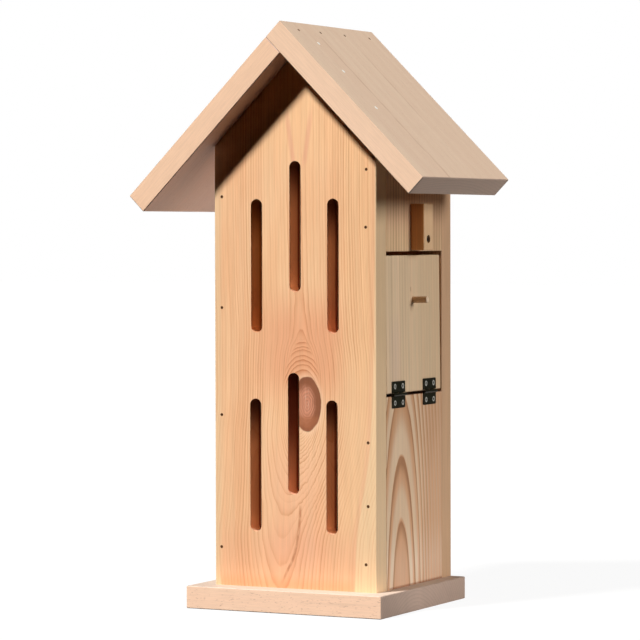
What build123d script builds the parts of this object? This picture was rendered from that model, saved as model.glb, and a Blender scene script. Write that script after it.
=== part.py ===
from build123d import *
from math import cos, hypot, radians, sin, tan
import os

os.makedirs("parts", exist_ok=True)

# A gabled timber box with slots in its front board and a door in its right side.
# Millimetres. X runs across the front, Y from front to back, Z up.
# The origin is on the underside of the base board, midway between the walls.

# Walls
house_width = 160.0
house_depth = 156.0
front_thickness = 20.0
back_thickness = 20.0
side_thickness = 20.0
eave_height = 411.0
eased_edge = 0.6

# Base board
base_thickness = 20.0
base_left_overhang = 18.4
base_right_overhang = 14.1
base_front_overhang = 20.8

# Roof boards
roof_pitch = 45.0
roof_thickness = 20.0
roof_board_length = 195.0
roof_front_overhang = 27.0

# Slots in the front board
slot_width = 11.2
slot_pitch = 37.8
slot_length = 118.0
lower_row_shift = -1.2
lower_slots_height = 69.3
lower_middle_rise = 34.0
lower_middle_length = 107.4
upper_slots_height = 246.0
upper_middle_shift = 0.6
upper_middle_rise = 36.0
upper_middle_length = 115.3

# Door opening and door, with the gaps that the saw left
opening_bottom = 190.2
door_height = 121.3
door_thickness = 20.0
door_bottom_gap = 2.5
door_top_clearance = 1.5
door_front_gap = 0.5
door_rear_gap = 2.4
door_lean = 0.6

# Dowel that serves as the door's knob
knob_radius = 2.9
knob_reach = 14.5
knob_depth = 12.0
knob_below_door_top = 39.7
knob_from_middle = -1.0
glue_clearance = 0.05

# Turn button that holds the door shut, here turned up and clear of it
button_thickness = 12.8
button_width = 19.5
button_length = 41.5
button_pivot_from_end = 10.0
button_pivot_above_opening = 11.0
button_from_middle = 1.5
button_running_gap = 0.3
button_bore_clearance = 0.08
button_screw_radius = 1.9
button_screw_head_radius = 3.3
button_screw_head_height = 2.2
button_counterbore_clearance = 0.3
button_counterbore_depth = 3.6
button_screw_grip = 14.0

# Butt hinges
hinge_length = 26.0
hinge_front_inset = 10.0
hinge_rear_inset = 12.4
leaf_reach = 11.8
leaf_thickness = 1.0
leaf_corner = 0.8
barrel_radius = 1.5
pin_radius = 0.75
pin_clearance = 0.05
knuckle_count = 5
knuckle_gap = 0.2
knuckle_turning_room = 0.3

# Countersunk screws of the hinges
screw_from_axis = 7.3
screw_spacing = 15.8
screw_head_radius = 2.4
screw_head_height = 0.8
screw_head_proud = 0.1
screw_shank_radius = 1.0
screw_length = 10.0
screw_clearance = 0.05
recess_length = 2.6
recess_width = 0.6
recess_depth = 0.5

# Places worked out from the sizes above
half_width = house_width / 2
half_depth = house_depth / 2
slope = radians(roof_pitch)
gable_height = eave_height + half_width * tan(slope)
ridge_height = gable_height + roof_thickness / cos(slope)
side_front = -half_depth + front_thickness
side_back = half_depth - back_thickness

axis_x = half_width + barrel_radius
axis_z = opening_bottom + door_bottom_gap / 2
hinge_axis = Axis((axis_x, 0, axis_z), (0, 1, 0))
door_bottom = opening_bottom + door_bottom_gap
door_top = door_bottom + door_height
door_inside_x = half_width - door_thickness
swing_rise = hypot(axis_x - door_inside_x, door_top - axis_z) - (door_top - axis_z)
opening_top = door_top + swing_rise + door_top_clearance
door_front = side_front + door_front_gap
door_back = side_back - door_rear_gap

button_pivot_z = opening_top + button_pivot_above_opening
button_back_x = half_width + button_running_gap
button_face_x = button_back_x + button_thickness

hinge_starts = {
    "front": door_front + hinge_front_inset,
    "rear": door_back - hinge_rear_inset - hinge_length,
}

FROM_LOW = (Align.MIN, Align.MIN, Align.MIN)
ALONG = (Align.CENTER, Align.CENTER, Align.MIN)


def block(low, high):
    """A rectangular solid between two opposite corners."""
    size = [b - a for a, b in zip(low, high)]
    return Pos(*low) * Box(*size, align=FROM_LOW)


def eased(edges):
    """The piece with these edges lightly bevelled, as sandpaper leaves a sawn board."""
    return chamfer(edges, eased_edge)


def drawn_from_front(points, front, back):
    """A solid whose outline is drawn in X and Z, running from front to back."""
    outline = make_face(Polyline(*points, close=True))
    return extrude(Plane.XZ.offset(-back) * outline, back - front)


def pointing_out(shape, x, y, z):
    """Turn a shape that points up so that it points out of the right wall."""
    return Pos(x, y, z) * Rot(0, 90, 0) * shape


def leant(shape):
    """Tip a piece of the closed door in on its hinges, because nothing stops its top flush."""
    return shape.rotate(hinge_axis, -door_lean)


# Base board
def make_base_board():
    low = (-half_width - base_left_overhang, -half_depth - base_front_overhang, 0)
    high = (half_width + base_right_overhang, half_depth, base_thickness)
    return eased(block(low, high).edges())


# Front board with its slots, and the plain back board
def gable_board(front, back):
    points = [
        (-half_width, base_thickness),
        (half_width, base_thickness),
        (half_width, eave_height),
        (0, gable_height),
        (-half_width, eave_height),
    ]
    board = drawn_from_front(points, front, back)
    return eased(board.edges().filter_by(Axis.Z))


def slot_places():
    """The middle, bottom and length of each routed slot, row by row."""
    lower_middle = (lower_row_shift, lower_slots_height + lower_middle_rise, lower_middle_length)
    upper_middle = (upper_middle_shift, upper_slots_height + upper_middle_rise, upper_middle_length)
    places = [lower_middle, upper_middle]
    for shift, bottom in ((lower_row_shift, lower_slots_height), (0, upper_slots_height)):
        places.append((shift - slot_pitch, bottom, slot_length))
        places.append((shift + slot_pitch, bottom, slot_length))
    return places


def make_front_wall():
    board = gable_board(-half_depth, side_front)
    for x, bottom, length in slot_places():
        opening = Pos(x, bottom + length / 2) * SlotOverall(length, slot_width, rotation=90)
        board -= extrude(Plane.XZ.offset(-side_front) * opening, front_thickness)
    return board


def make_back_wall():
    return gable_board(side_back, half_depth)


# Side walls, the right one in two pieces with the door between them
def side_board(bottom, top):
    return block((half_width - side_thickness, side_front, bottom), (half_width, side_back, top))


def side_board_to_roof(bottom):
    inner_x = half_width - side_thickness
    points = [
        (inner_x, bottom),
        (half_width, bottom),
        (half_width, eave_height),
        (inner_x, eave_height + side_thickness * tan(slope)),
    ]
    return drawn_from_front(points, side_front, side_back)


def make_left_wall():
    return mirror(side_board_to_roof(base_thickness), about=Plane.YZ)


def make_right_wall_lower():
    board = side_board(base_thickness, opening_bottom)
    for start in hinge_starts.values():
        for y in screw_places(start):
            board -= pointing_out(screw_room(), screw_face_x, y, axis_z - screw_from_axis)
    return board


def make_right_wall_upper():
    board = side_board_to_roof(opening_top)
    pilot = Cylinder(button_screw_radius + glue_clearance, button_screw_grip, align=ALONG)
    return board - pointing_out(pilot, half_width - button_screw_grip, button_from_middle, button_pivot_z)


# Roof boards, butted at the ridge with the right one on top
def down_slope(side, along, depth):
    """A point of the roof's section: along the slope from the ridge, and below its surface."""
    x = along * cos(slope) - depth * sin(slope)
    z = ridge_height - along * sin(slope) - depth * cos(slope)
    return (side * x, z)


def roof_board(points):
    return eased(drawn_from_front(points, -half_depth - roof_front_overhang, half_depth).edges())


def make_roof_board_right():
    return roof_board([
        down_slope(1, 0, 0),
        down_slope(1, roof_board_length, 0),
        down_slope(1, roof_board_length, roof_thickness),
        down_slope(1, 0, roof_thickness),
    ])


def make_roof_board_left():
    outer_start = roof_thickness / sin(2 * slope)
    inner_start = roof_thickness * tan(slope)
    end = outer_start + roof_board_length
    return roof_board([
        down_slope(-1, outer_start, 0),
        down_slope(-1, end, 0),
        down_slope(-1, end, roof_thickness),
        down_slope(-1, inner_start, roof_thickness),
    ])


# Countersunk screws
screw_face_x = half_width + leaf_thickness + screw_head_proud


def countersunk(clearance):
    """A countersunk screw with its face at the origin, or the room it needs."""
    head = Pos(0, 0, -screw_head_height) * Cone(
        screw_shank_radius + clearance, screw_head_radius + clearance, screw_head_height, align=ALONG
    )
    reach = screw_length + clearance
    shank = Pos(0, 0, -reach) * Cylinder(screw_shank_radius + clearance, reach - screw_head_height, align=ALONG)
    return head + shank


def screw_room():
    return countersunk(screw_clearance)


def cross_recess(length, width, depth):
    across = Pos(0, 0, -depth) * Box(length, width, 2 * depth, align=ALONG)
    return across + Rot(0, 0, 90) * across


def screw_places(start):
    middle = start + hinge_length / 2
    return (middle - screw_spacing / 2, middle + screw_spacing / 2)


def make_screws(start, side):
    """The two screws of one leaf, on the door when side is 1 and on the wall when it is -1."""
    screw = countersunk(0) - cross_recess(recess_length, recess_width, recess_depth)
    z = axis_z + side * screw_from_axis
    screws = [pointing_out(screw, screw_face_x, y, z) for y in screw_places(start)]
    if side > 0:
        screws = [leant(screw) for screw in screws]
    return Compound(screws)


# Hinge leaves, whose knuckles take turns round one pin
def knuckle_spans(start, first):
    pitch = hinge_length / knuckle_count
    return [
        (start + i * pitch + knuckle_gap / 2, start + (i + 1) * pitch - knuckle_gap / 2)
        for i in range(first, knuckle_count, 2)
    ]


def make_leaf(start, side):
    """A leaf that runs up over the door when side is 1, and down over the wall when it is -1."""
    turning_radius = barrel_radius + knuckle_turning_room
    plate_ends = sorted((axis_z + side * turning_radius, axis_z + side * leaf_reach))
    leaf = block(
        (half_width, start, plate_ends[0]),
        (half_width + leaf_thickness, start + hinge_length, plate_ends[1]),
    )
    far_corners = leaf.edges().filter_by(Axis.X).sort_by(Axis.Z)
    leaf = chamfer(far_corners[-2:] if side > 0 else far_corners[:2], leaf_corner)
    strap_ends = sorted((axis_z, axis_z + side * turning_radius))
    for near, far in knuckle_spans(start, 1 if side > 0 else 0):
        leaf += block((half_width, near, strap_ends[0]), (half_width + leaf_thickness, far, strap_ends[1]))
        leaf += Pos(axis_x, near, axis_z) * Rot(-90, 0, 0) * Cylinder(barrel_radius, far - near, align=ALONG)
    bore = Cylinder(pin_radius + pin_clearance, hinge_length, align=ALONG)
    leaf -= Pos(axis_x, start, axis_z) * Rot(-90, 0, 0) * bore
    for y in screw_places(start):
        leaf -= pointing_out(screw_room(), screw_face_x, y, axis_z + side * screw_from_axis)
    return leaf


def make_pin(start):
    return Pos(axis_x, start, axis_z) * Rot(-90, 0, 0) * Cylinder(pin_radius, hinge_length, align=ALONG)


# Door and its knob, modelled upright and then leant in on the hinges
knob_z = door_top - knob_below_door_top


def make_door_panel():
    board = eased(block((door_inside_x, door_front, door_bottom), (half_width, door_back, door_top)).edges())
    socket = Cylinder(knob_radius + glue_clearance, knob_depth + glue_clearance, align=ALONG)
    board -= pointing_out(socket, half_width - knob_depth - glue_clearance, knob_from_middle, knob_z)
    for start in hinge_starts.values():
        for y in screw_places(start):
            board -= pointing_out(screw_room(), screw_face_x, y, axis_z + screw_from_axis)
    return leant(board)


def make_knob():
    dowel = Cylinder(knob_radius, knob_depth + knob_reach, align=ALONG)
    dowel = eased(dowel.edges().sort_by(Axis.Z)[-1])
    return leant(pointing_out(dowel, half_width - knob_depth, knob_from_middle, knob_z))


# Turn button, which turns on one screw
def make_turn_button():
    low = (button_back_x, button_from_middle - button_width / 2, button_pivot_z - button_pivot_from_end)
    high = (button_face_x, low[1] + button_width, low[2] + button_length)
    button = eased(block(low, high).edges())
    bore = Cylinder(button_screw_radius + button_bore_clearance, button_thickness, align=ALONG)
    button -= pointing_out(bore, button_back_x, button_from_middle, button_pivot_z)
    counterbore_radius = button_screw_head_radius + button_counterbore_clearance
    counterbore = Cylinder(counterbore_radius, button_counterbore_depth, align=ALONG)
    seat_x = button_face_x - button_counterbore_depth
    return button - pointing_out(counterbore, seat_x, button_from_middle, button_pivot_z)


def make_turn_button_screw():
    head = Cylinder(button_screw_head_radius, button_screw_head_height, align=ALONG)
    head = eased(head.edges().sort_by(Axis.Z)[-1])
    head_x = button_face_x - button_counterbore_depth + button_bore_clearance
    tip_x = half_width - button_screw_grip + glue_clearance
    shank = Cylinder(button_screw_radius, head_x - tip_x, align=ALONG)
    recess = Pos(0, 0, button_screw_head_height) * cross_recess(
        button_screw_head_radius, recess_width, button_screw_head_height / 2
    )
    screw = pointing_out(head - recess, head_x, button_from_middle, button_pivot_z)
    return screw + pointing_out(shank, tip_x, button_from_middle, button_pivot_z)


# One file for each piece
pieces = {
    "base_board": make_base_board(),
    "front_wall": make_front_wall(),
    "back_wall": make_back_wall(),
    "left_wall": make_left_wall(),
    "right_wall_lower": make_right_wall_lower(),
    "right_wall_upper": make_right_wall_upper(),
    "roof_board_left": make_roof_board_left(),
    "roof_board_right": make_roof_board_right(),
    "door_panel": make_door_panel(),
    "door_knob_dowel": make_knob(),
    "turn_button": make_turn_button(),
    "turn_button_screw": make_turn_button_screw(),
}
for place, start in hinge_starts.items():
    pieces[f"{place}_hinge_wall_leaf"] = make_leaf(start, -1)
    pieces[f"{place}_hinge_door_leaf"] = leant(make_leaf(start, 1))
    pieces[f"{place}_hinge_pin"] = make_pin(start)
    pieces[f"{place}_hinge_wall_screws"] = make_screws(start, -1)
    pieces[f"{place}_hinge_door_screws"] = make_screws(start, 1)

for node, shape in pieces.items():
    export_step(shape, f"parts/{node}.step")
print("hinge axis", axis_x, axis_z, "button pivot", button_from_middle, button_pivot_z)
print("opening top", opening_top, "door", door_front, door_back, door_bottom, door_top)
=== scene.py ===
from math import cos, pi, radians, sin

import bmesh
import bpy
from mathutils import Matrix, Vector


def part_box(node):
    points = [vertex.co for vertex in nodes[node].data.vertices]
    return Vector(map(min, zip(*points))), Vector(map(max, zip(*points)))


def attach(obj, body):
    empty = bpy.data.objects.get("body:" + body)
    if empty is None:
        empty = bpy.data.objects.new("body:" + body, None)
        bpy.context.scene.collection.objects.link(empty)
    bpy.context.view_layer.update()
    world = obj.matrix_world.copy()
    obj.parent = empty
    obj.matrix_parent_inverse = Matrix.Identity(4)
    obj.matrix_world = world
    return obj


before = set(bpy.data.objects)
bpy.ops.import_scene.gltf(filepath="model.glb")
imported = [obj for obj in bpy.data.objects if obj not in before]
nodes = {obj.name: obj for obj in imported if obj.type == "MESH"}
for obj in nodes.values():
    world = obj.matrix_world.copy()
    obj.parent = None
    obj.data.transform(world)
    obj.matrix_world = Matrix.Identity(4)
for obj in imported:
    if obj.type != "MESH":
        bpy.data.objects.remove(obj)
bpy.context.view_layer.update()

# %% [markdown]
# # A butterfly house of bare boards
# The house is a tall box of planed boards under a steep roof, with routed slots in its front and a small
# door in its right side. The boards, hinges and screws are already modelled as solids. This lesson gives
# each of them its wood or metal, adds the nails, and sets up the light and the camera.

# %% [markdown]
# ## The camera
# The photograph was taken from the right of the front and from far away, so its edges hardly converge.
# The camera's place could be found by eye, but a fit to the straight edges of the boards is surer. The
# fit gives a place, three angles and a focal length, and they are written here as plain values.

# %% Camera
CAMERA_PLACE = Vector((1.2684, -2.5347, 0.3357))
CAMERA_YAW = radians(26.844)
CAMERA_PITCH = radians(-1.624)
CAMERA_ROLL = radians(0.123)
PICTURE_WIDTH_IN_PIXELS = 640
FOCAL_LENGTH_IN_PIXELS = 3140.9
SENSOR_WIDTH = 36.0
NEAREST = 0.1
FARTHEST = 50.0


def add_object(name, data):
    """Put a lamp, a camera or a mesh in the scene, as an object."""
    thing = bpy.data.objects.new(name, data)
    bpy.context.scene.collection.objects.link(thing)
    return thing


def add_camera():
    data = bpy.data.cameras.new("camera")
    data.sensor_width = SENSOR_WIDTH
    data.lens = SENSOR_WIDTH * (FOCAL_LENGTH_IN_PIXELS / PICTURE_WIDTH_IN_PIXELS)
    data.clip_start = NEAREST
    data.clip_end = FARTHEST
    camera = add_object("camera", data)
    turn = Matrix.Rotation(CAMERA_YAW, 4, "Z") @ Matrix.Rotation(pi / 2 + CAMERA_PITCH, 4, "X")
    camera.matrix_world = Matrix.Translation(CAMERA_PLACE) @ turn @ Matrix.Rotation(-CAMERA_ROLL, 4, "Z")
    bpy.context.scene.camera = camera
    return camera


camera = add_camera()
print("lens in millimetres:", round(camera.data.lens, 1))

# %% [markdown]
# ## Arithmetic for materials
# Wood is a solid pattern: the same growth rings run through a board and come out on every face. Such a
# pattern is a formula of the place in the board. Shader nodes can hold that formula, but joining them one
# by one takes many lines. A small class lets it be written as ordinary arithmetic instead: each plus or
# times adds one Math node, and the result can go on into the next sum.

# %% A number that flows between shader nodes
class Signal:
    """A number that flows from one shader node to the next."""

    def __init__(self, graph, socket):
        self.graph = graph
        self.socket = socket

    def __add__(self, other):
        return self.graph.math("ADD", self, other)

    def __sub__(self, other):
        return self.graph.math("SUBTRACT", self, other)

    def __mul__(self, other):
        return self.graph.math("MULTIPLY", self, other)

    def __truediv__(self, other):
        return self.graph.math("DIVIDE", self, other)

    def __rsub__(self, other):
        return self.graph.math("SUBTRACT", other, self)

    def __abs__(self):
        return self.graph.math("ABSOLUTE", self)


print("signals can be added, subtracted, multiplied, divided and made positive")

# %% [markdown]
# ## The nodes of one material
# Every finish below is one material with one Principled shader, and what differs is what feeds its colour,
# roughness and bump. So one class starts the material and puts values, colours or signals into sockets.
# The place on an object comes in metres, and is turned into millimetres, which suit rings and nails.

# %% The node tree of one material
MM = 1000.0


class Tree:
    """The shader nodes of one material, and what may go into their sockets."""

    def __init__(self, name):
        self.material = bpy.data.materials.new(name)
        self.material.use_nodes = True
        self.tree = self.material.node_tree
        self.tree.nodes.clear()
        self.shader = self.tree.nodes.new("ShaderNodeBsdfPrincipled")
        output = self.tree.nodes.new("ShaderNodeOutputMaterial")
        self.tree.links.new(self.shader.outputs["BSDF"], output.inputs["Surface"])

    def feed(self, socket, value):
        """Put a signal, another socket's colour, a colour or a number into a socket."""
        if isinstance(value, Signal):
            self.tree.links.new(value.socket, socket)
        elif isinstance(value, bpy.types.NodeSocket):
            self.tree.links.new(value, socket)
        elif isinstance(value, tuple):
            socket.default_value = (*value, 1.0)
        else:
            socket.default_value = value

    def set(self, name, value):
        """Feed one of the Principled shader's own sockets."""
        self.feed(self.shader.inputs[name], value)

    def math(self, operation, *inputs):
        """One Math node, whose result is a signal again."""
        node = self.tree.nodes.new("ShaderNodeMath")
        node.operation = operation
        for socket, value in zip(node.inputs, inputs):
            self.feed(socket, value)
        return Signal(self, node.outputs["Value"])

    def distance(self, a, b):
        """How far a point is from the middle, from its distances along two square directions."""
        return self.math("SQRT", a * a + b * b)

    def place(self):
        """The place on the object, across, front to back and up, in millimetres."""
        coordinates = self.tree.nodes.new("ShaderNodeTexCoord")
        split = self.tree.nodes.new("ShaderNodeSeparateXYZ")
        self.tree.links.new(coordinates.outputs["Object"], split.inputs["Vector"])
        return tuple(Signal(self, split.outputs[axis]) * MM for axis in "XYZ")


print("places are in millimetres, of which a metre has", MM)

# %% [markdown]
# ## Noise, steps and curves
# A few nodes do nearly all the work of a wood. Noise makes it uneven, a step says where one thing gives
# way to another, a curve follows a line that was looked up on the board, and a ramp shades a single ring.
# Each noise has a seed, a number that only makes it differ from the others. These nodes are kept apart
# from the class above so that each cell stays short.

# %% The patterns of a material
class Patterns(Tree):
    """The same tree, with the patterns that the finishes below are written in."""

    def noise(self, place, sizes, seed, detail=2.0):
        """Smooth noise from 0 to 1, whose blobs have about the given sizes in millimetres."""
        join = self.tree.nodes.new("ShaderNodeCombineXYZ")
        for socket, value, size in zip(join.inputs, place, sizes):
            self.feed(socket, value * (1.0 / size))
        node = self.tree.nodes.new("ShaderNodeTexNoise")
        node.noise_dimensions = "4D"
        self.tree.links.new(join.outputs["Vector"], node.inputs["Vector"])
        node.inputs["W"].default_value = seed
        node.inputs["Scale"].default_value = 1.0
        node.inputs["Detail"].default_value = detail
        return Signal(self, node.outputs["Fac"])

    def step(self, value, start, end, low=0.0, high=1.0):
        """A smooth change from low at start to high at end."""
        node = self.tree.nodes.new("ShaderNodeMapRange")
        node.interpolation_type = "SMOOTHSTEP"
        self.feed(node.inputs["Value"], value)
        self.feed(node.inputs["From Min"], start)
        self.feed(node.inputs["From Max"], end)
        self.feed(node.inputs["To Min"], low)
        self.feed(node.inputs["To Max"], high)
        return Signal(self, node.outputs["Result"])

    def near(self, value, middle, width):
        """1 where a value is close to the middle, fading to 0 at the given distance from it."""
        return self.step(abs(value - middle), width, width * 0.25)

    def curve(self, value, points, value_range, result_range):
        """A smooth curve through a few points, written in millimetres."""
        node = self.tree.nodes.new("ShaderNodeFloatCurve")
        line = node.mapping.curves[0]
        (a, b), (c, d) = value_range, result_range
        while len(line.points) < len(points):
            line.points.new(0.5, 0.5)
        places = [((x - a) / (b - a), (y - c) / (d - c)) for x, y in points]
        for point, place in zip(line.points, places):
            point.location = place
        node.mapping.update()
        self.feed(node.inputs["Value"], (value - a) * (1.0 / (b - a)))
        return Signal(self, node.outputs["Value"]) * (d - c) + c

    def ramp(self, value, stops):
        """Levels between 0 and 1 at the given positions, with straight lines between them."""
        node = self.tree.nodes.new("ShaderNodeValToRGB")
        self.feed(node.inputs["Fac"], value)
        elements = node.color_ramp.elements
        while len(elements) < len(stops):
            elements.new(0.5)
        for element, (position, level) in zip(elements, stops):
            element.position = position
            element.color = (level, level, level, 1.0)
        return Signal(self, node.outputs["Color"])


print("patterns:", [name for name in vars(Patterns) if not name.startswith("_")])

# %% [markdown]
# ## Washes of colour
# Colours go over one another as on a painting: a mix covers what is under it, as far as its amount says,
# and a glaze darkens or warms it, as a thin coat of stain would. What stands proud or lies deep is bump,
# which bends the light on the surface but doesn't move it, and that is enough for fibres and paint.

# %% Colours and relief
class Graph(Patterns):
    """One material, with all that its colour and its surface are written in."""

    def mix(self, amount, first, second, blend="MIX"):
        """The first colour where the amount is 0, and the second where it is 1."""
        node = self.tree.nodes.new("ShaderNodeMix")
        node.data_type = "RGBA"
        node.blend_type = blend
        self.feed(node.inputs["Factor"], amount)
        self.feed(node.inputs[6], first)
        self.feed(node.inputs[7], second)
        return node.outputs[2]

    def glaze(self, amount, colour, tint):
        """A colour multiplied by a tint, as far as the amount says."""
        return self.mix(amount, colour, tint, "MULTIPLY")

    def grey(self, value):
        """A grey as bright as the value."""
        node = self.tree.nodes.new("ShaderNodeCombineColor")
        for socket in node.inputs[:3]:
            self.feed(socket, value)
        return node.outputs["Color"]

    def relief(self, height, depth_mm):
        """Bump of the given depth, from a height of 0 to 1."""
        node = self.tree.nodes.new("ShaderNodeBump")
        node.inputs["Strength"].default_value = 1.0
        node.inputs["Distance"].default_value = depth_mm / MM
        self.feed(node.inputs["Height"], height)
        self.tree.links.new(node.outputs["Normal"], self.shader.inputs["Normal"])


def dress(node_name, material):
    """Give a solid of the frame its finish."""
    slots = nodes[node_name].data.materials
    slots.clear()
    slots.append(material)
    print(node_name, "wears", material.name, "with", len(material.node_tree.nodes), "shader nodes")


print("colours and relief:", [name for name in vars(Graph) if not name.startswith("_")])

# %% [markdown]
# ## Growth rings
# A tree grows one ring a year: pale early wood that slowly darkens into a thin hard line of late wood, and
# then a sharp step back to pale. Sawn along the trunk, the rings show as straight lines where the saw cut
# them square, and as nested arches where it only grazed them. All of that follows from one number, the
# distance from the tree's middle, so the middle's place beside the board is what shapes the pattern.

# %% Rings of softwood
RING_PROFILE = [(0.0, 0.0), (0.45, 0.10), (0.78, 0.5), (0.93, 1.0), (1.0, 0.15)]


def ring_lines(g, rings, seed, unevenness=0.6, profile=RING_PROFILE):
    """How dark the wood is, from 0 in early wood to 1 in late wood, for a count of rings."""
    whole = g.math("FLOOR", rings)
    line = g.ramp(g.math("FRACT", rings), profile)
    strength = g.noise((whole * 7.3, whole * 3.1, whole * 5.7), (1.0, 1.0, 1.0), seed, 0.0)
    return line * g.step(strength, 0.3, 0.7, 1.0 - unevenness, 1.0)


def rings_by_radius(g, radius, points):
    """A count of rings, from a few pairs of a radius and the rings within it."""
    last_radius, last_count = points[-1]
    return g.curve(radius, points, (0.0, last_radius), (0.0, last_count))


def radius_from(g, across, below, along, pith_across, pith_below, seed, waviness=1.6, ripples=0.5):
    """Distance in millimetres from the tree's middle, the pith, made slightly uneven."""
    sway = g.noise((across, below, along), (34.0, 34.0, 150.0), seed, 2.0) - 0.5
    ripple = g.noise((across, below, along), (6.0, 6.0, 17.0), seed + 2.0, 2.0) - 0.5
    radius = g.distance(across - pith_across, below - pith_below)
    return radius + sway * (waviness * 3.0) + ripple * (waviness * ripples)


print("late wood is darkest at", RING_PROFILE[-2][0], "of a ring's width")

# %% [markdown]
# ## A planed surface
# Between the rings, wood is a bundle of thin fibres. They show as fine streaks along the grain, a little
# lighter and darker, rougher and smoother, and the plane leaves them standing a few hundredths of a
# millimetre high. One noise, stretched along the grain, gives all three, so that they belong together.

# %% Fibres and the finish of bare wood
STREAK_DEPTH = 0.05
WOOD_ROUGHNESS = 0.55
WOOD_SHINE = 0.3


def fibres(g, across, below, along, seed):
    """Fine streaks along the grain, from 0 to 1."""
    fine = g.noise((across, below, along), (0.7, 0.7, 26.0), seed, 3.0)
    broad = g.noise((across, below, along), (4.0, 4.0, 120.0), seed + 1.0, 2.0)
    return fine * 0.5 + broad * 0.5


def finish_wood(g, colour, streaks, roughness=WOOD_ROUGHNESS, depth_mm=STREAK_DEPTH):
    """Lay fibre streaks over the colour of the wood, as a bare planed surface."""
    shade = g.grey(g.step(streaks, 0.25, 0.75, 0.91, 1.07))
    g.set("Base Color", g.glaze(1.0, colour, shade))
    g.set("Roughness", g.step(streaks, 0.2, 0.8, roughness - 0.08, roughness + 0.1))
    g.set("Specular IOR Level", WOOD_SHINE)
    g.relief(streaks, depth_mm)
    return g.material


print("streaks stand", STREAK_DEPTH, "millimetres high")

# %% [markdown]
# ## The rings of the front board
# The front is one wide board with a knot beside its lower middle slot. A branch grew there, and the rings
# bulge towards it from above and run in long valleys below it. So the tree's middle comes close to the
# face at the knot, and draws away from it above and below. Painting each line would take hundreds of
# points. Two short curves over the board's height say where the middle runs, and all lines follow.

# %% Where the tree's middle runs behind the front board
front_low, front_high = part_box("front_wall")
FRONT_FACE = front_low.y * MM
FRONT_HEIGHTS = (0.0, 480.0)
SIDEWAYS = (-30.0, 30.0)
PITH_DEPTHS = (0.0, 60.0)
PITH_BELOW = [
    (0, 41), (52, 36), (92, 31), (101, 28.4), (122, 22), (150, 10.5), (165, 4), (186, 2), (205, 4.5),
    (221, 8.6), (233, 12.7), (243, 15.6), (262, 16.8), (300, 17.0), (480, 17.0),
]
PITH_ACROSS = [
    (0, -12), (58, -13.5), (81, -10.3), (92, -8), (130, 0), (165, 5), (186, 7), (250, 6), (290, 4), (480, 3),
]
RINGS_OF_FRONT = [(0, 0), (16, 11), (26, 16), (110, 49)]


def front_rings(g, x, below, z):
    """How many rings lie between the tree's middle and a place. They are narrower near the middle."""
    pith_below = g.curve(z, PITH_BELOW, FRONT_HEIGHTS, PITH_DEPTHS)
    pith_across = g.curve(z, PITH_ACROSS, FRONT_HEIGHTS, SIDEWAYS)
    radius = radius_from(g, x, below, z, pith_across, pith_below, 3.0, 1.0, 0.9)
    ruffle = g.noise((x, below, z), (5.0, 6.0, 5.0), 27.0, 2.0) - 0.5
    radius = radius + ruffle * g.near(x, 14.0, 22.0) * g.near(z, 118.0, 55.0) * 3.0
    return rings_by_radius(g, radius, RINGS_OF_FRONT)


print("the tree's middle comes as close as", min(depth for height, depth in PITH_BELOW), "mm to the face")

# %% [markdown]
# ## Arches over the knot
# Just above the knot the rings bend round the branch and stand over it as a stack of pointed arches. The
# distance from the tree's middle would give them only with a far more winding path. It is simpler to
# measure a second distance, from the knot itself and squeezed sideways, and to let its rings take the
# place of the board's own in a patch above the knot. A list says how high each arch stands.

# %% Rings over the branch
KNOT_X = 12.3
KNOT_Z = 183.6
ARCHES_X = 8.0
ARCH_SQUEEZE = 1.8
ARCH_HEIGHTS = [
    (24, 0.4), (30.7, 1), (35.2, 2), (39.1, 3), (43.2, 4), (48, 5), (50.6, 6), (54.5, 7), (58.1, 8),
]


def arches_over_knot(g, x, z, place):
    """Rings that pass over the branch, and how far they take the place of the board's own rings."""
    uneven = (g.noise(place, (7.0, 9.0, 5.0), 26.0, 2.0) - 0.5) * 2.2
    reach = g.distance((x - ARCHES_X) * ARCH_SQUEEZE, z - KNOT_Z) + uneven
    rings = g.curve(reach, ARCH_HEIGHTS, (20.0, 64.0), (0.0, 9.0))
    aside = abs(x - 6.5) + g.step(reach, 38.0, 56.0, 0.0, 12.0)
    there = g.step(aside, 19.0, 14.0) * g.step(z, 192.0, 204.0) * g.step(reach, 58.0, 55.0)
    return rings, there


print("arches over the knot:", ARCH_HEIGHTS[-1][1], "up to", KNOT_Z + ARCH_HEIGHTS[-1][0], "mm high")

# %% [markdown]
# ## The knot
# The knot is the branch itself, cut across: an oval of harder, redder wood with rings of its own and a few
# pale cracks. It could be a plug of its own, but it was planed flush with the board, so a colour is enough.
# A distance that is 0 in its middle and 1 at its edge places all of its parts.

# %% The knot
KNOT_HALF_WIDTH = 13.4
KNOT_HALF_HEIGHT = 24.0
KNOT_PINK = (0.69, 0.292, 0.175)
KNOT_BROWN = (0.31, 0.108, 0.050)
KNOT_RED = (0.44, 0.150, 0.065)
KNOT_BARK = (0.24, 0.09, 0.05)
KNOT_CRACK = (0.80, 0.53, 0.40)


def knot_distance(g, place):
    """0 in the knot's middle, 1 at its edge."""
    x, y, z = place
    uneven = g.noise(place, (9.0, 9.0, 9.0), 5.0, 2.0) - 0.5
    return g.distance((x - KNOT_X) / KNOT_HALF_WIDTH, (z - KNOT_Z) / KNOT_HALF_HEIGHT) + uneven * 0.16


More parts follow.
